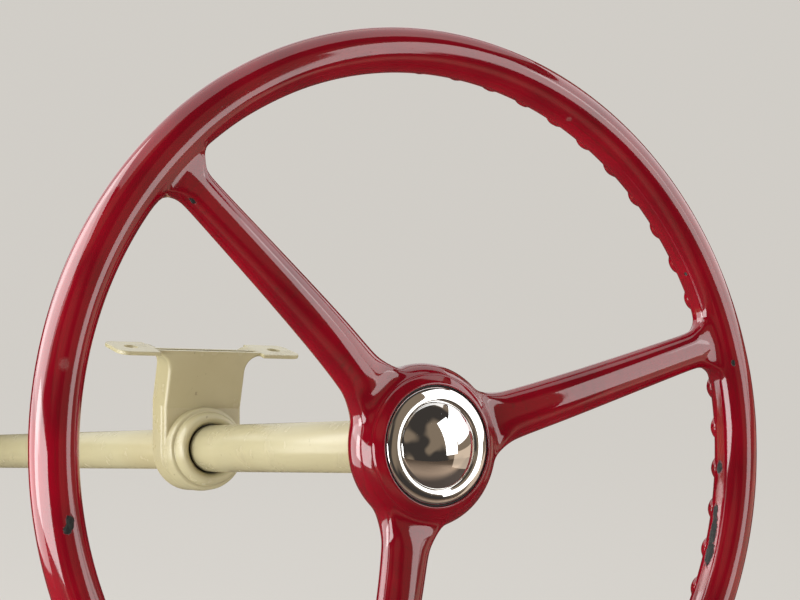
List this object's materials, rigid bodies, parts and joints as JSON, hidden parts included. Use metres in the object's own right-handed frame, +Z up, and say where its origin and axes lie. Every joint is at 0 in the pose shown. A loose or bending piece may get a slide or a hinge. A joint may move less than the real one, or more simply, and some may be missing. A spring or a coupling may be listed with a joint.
{
  "type": "car steering wheel and column",
  "caption": "Vintage car steering wheel with moulded rim and spokes, domed horn push, column tube and dash bracket.",
  "frame": {"origin": "on the top of the dash bracket's two feet, midway between their bolt holes", "axes": "in the attitude it has in the car: +Z up, +Y forward away from the driver, +X to the driver's right; the column falls 15 degrees forward"},
  "size_m": [0.432, 0.7932, 0.418],
  "materials": {
    "red_moulding": "polished deep crimson moulding, chipped in places",
    "chrome": "mirror bright plating",
    "black_rubber": "dull black",
    "steel": "turned steel, lightly oiled",
    "bronze": "dull sintered bronze",
    "cream_paint": "old cream gloss enamel, slightly dirty"
  },
  "bodies": {
    "column": {"upper_tube": "cream_paint", "lower_tube": "cream_paint", "dash_bracket": "cream_paint", "bracket_cover": "cream_paint", "collar_bush": "black_rubber", "upper_bush": "bronze", "lower_bush": "bronze"},
    "wheel": {"rim": "red_moulding", "spoke_1": "red_moulding", "spoke_2": "red_moulding", "spoke_3": "red_moulding", "hub_shell": "red_moulding", "push_bezel": "chrome", "horn_push": "chrome", "push_seal": "black_rubber", "hub_boss": "steel", "steering_shaft": "steel"}
  },
  "joints": [
    {"name": "steering", "type": "hinge", "parent": "column", "child": "wheel", "pos_m": [0, -0.26937, 0.00771], "axis": [0, -0.9659, 0.2588], "continuous": true}
  ]
}
